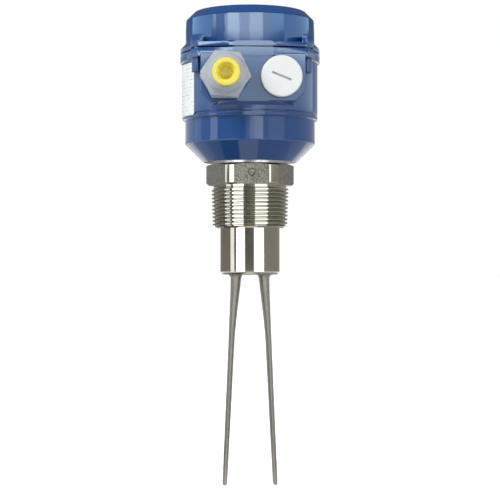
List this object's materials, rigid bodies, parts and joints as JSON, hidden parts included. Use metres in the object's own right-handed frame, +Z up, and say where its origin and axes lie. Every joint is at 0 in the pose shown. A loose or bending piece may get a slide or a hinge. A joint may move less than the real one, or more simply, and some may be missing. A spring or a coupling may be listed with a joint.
{
  "type": "vibrating fork level switch",
  "caption": "Point level switch for bulk solids: round die-cast housing with gland and blanking plug, hexagon, taper pipe thread, smooth tube and a two-tined vibrating fork.",
  "frame": {"origin": "on the axis, in the underside of the hexagon where the taper thread starts", "axes": "+Z up the axis to the lid, -Y to the cable entries, +X to the right seen from the entries; the tines stand side by side along X"},
  "size_m": [0.0862, 0.1063, 0.2917],
  "materials": {
    "blue_paint": "glossy polyester powder coat on die-cast aluminium",
    "cast_steel": "stainless steel, blasted casting with turned faces",
    "fork_steel": "stainless steel, fine cast skin",
    "grey_plastic": "light grey polyamide",
    "yellow_plastic": "yellow polyethylene",
    "white_plastic": "white polyamide",
    "black_rubber": "black nitrile rubber",
    "plate_foil": "white foil plate",
    "screw_steel": "bright stainless steel",
    "brass": "bright brass",
    "ceramic": "fired piezo ceramic",
    "board_green": "glass-epoxy board with green lacquer",
    "terminal_green": "green polyamide",
    "black_plastic": "black moulded plastic",
    "red_lens": "red translucent lens",
    "dial_orange": "orange plastic"
  },
  "bodies": {
    "base": {"housing": "blue_paint", "process_connection": "cast_steel", "fork": "fork_steel", "piezo_rings": "ceramic", "piezo_electrodes": "brass", "piezo_insulators": "ceramic", "piezo_clamp_nut": "screw_steel", "neck_ring": "screw_steel", "lock_nut": "brass", "gland_body": "grey_plastic", "gland_seal": "black_rubber", "gland_bush": "black_rubber", "blanking_seal": "black_rubber", "nameplate": "plate_foil", "circuit_board": "board_green", "board_posts": "screw_steel", "board_screws": "screw_steel", "terminal_block": "terminal_green", "terminal_screws": "screw_steel", "relay": "black_plastic", "transformer": "black_plastic", "capacitor": "black_plastic", "indicator_lamp": "red_lens", "sensitivity_pot": "black_plastic", "earth_screw": "brass"},
    "cover": {"lid": "blue_paint", "lid_gasket": "black_rubber", "lid_screws": "screw_steel"},
    "cap_nut": {"gland_nut": "grey_plastic"},
    "dust_plug": {"transport_plug": "yellow_plastic"},
    "blank": {"blanking_plug": "white_plastic"},
    "dial": {"sensitivity_dial": "dial_orange"}
  },
  "joints": [
    {"name": "cover_lift", "type": "slide", "parent": "base", "child": "cover", "axis": [0, 0, 1], "range_m": [0, 0.06]},
    {"name": "cap_nut_turn", "type": "hinge", "parent": "base", "child": "cap_nut", "pos_m": [-0.0167, -0.055, 0.0628], "axis": [0, -1, 0], "range_deg": [0, 990]},
    {"name": "dust_plug_pull", "type": "slide", "parent": "base", "child": "dust_plug", "axis": [0, -1, 0], "range_m": [0, 0.03]},
    {"name": "blank_turn", "type": "hinge", "parent": "base", "child": "blank", "pos_m": [0.0167, -0.043, 0.0628], "axis": [0, -1, 0], "range_deg": [0, 990]},
    {"name": "dial_turn", "type": "hinge", "parent": "base", "child": "dial", "pos_m": [0.01435, 0.019, 0.052], "axis": [0, 0, 1], "range_deg": [-135, 135]}
  ]
}
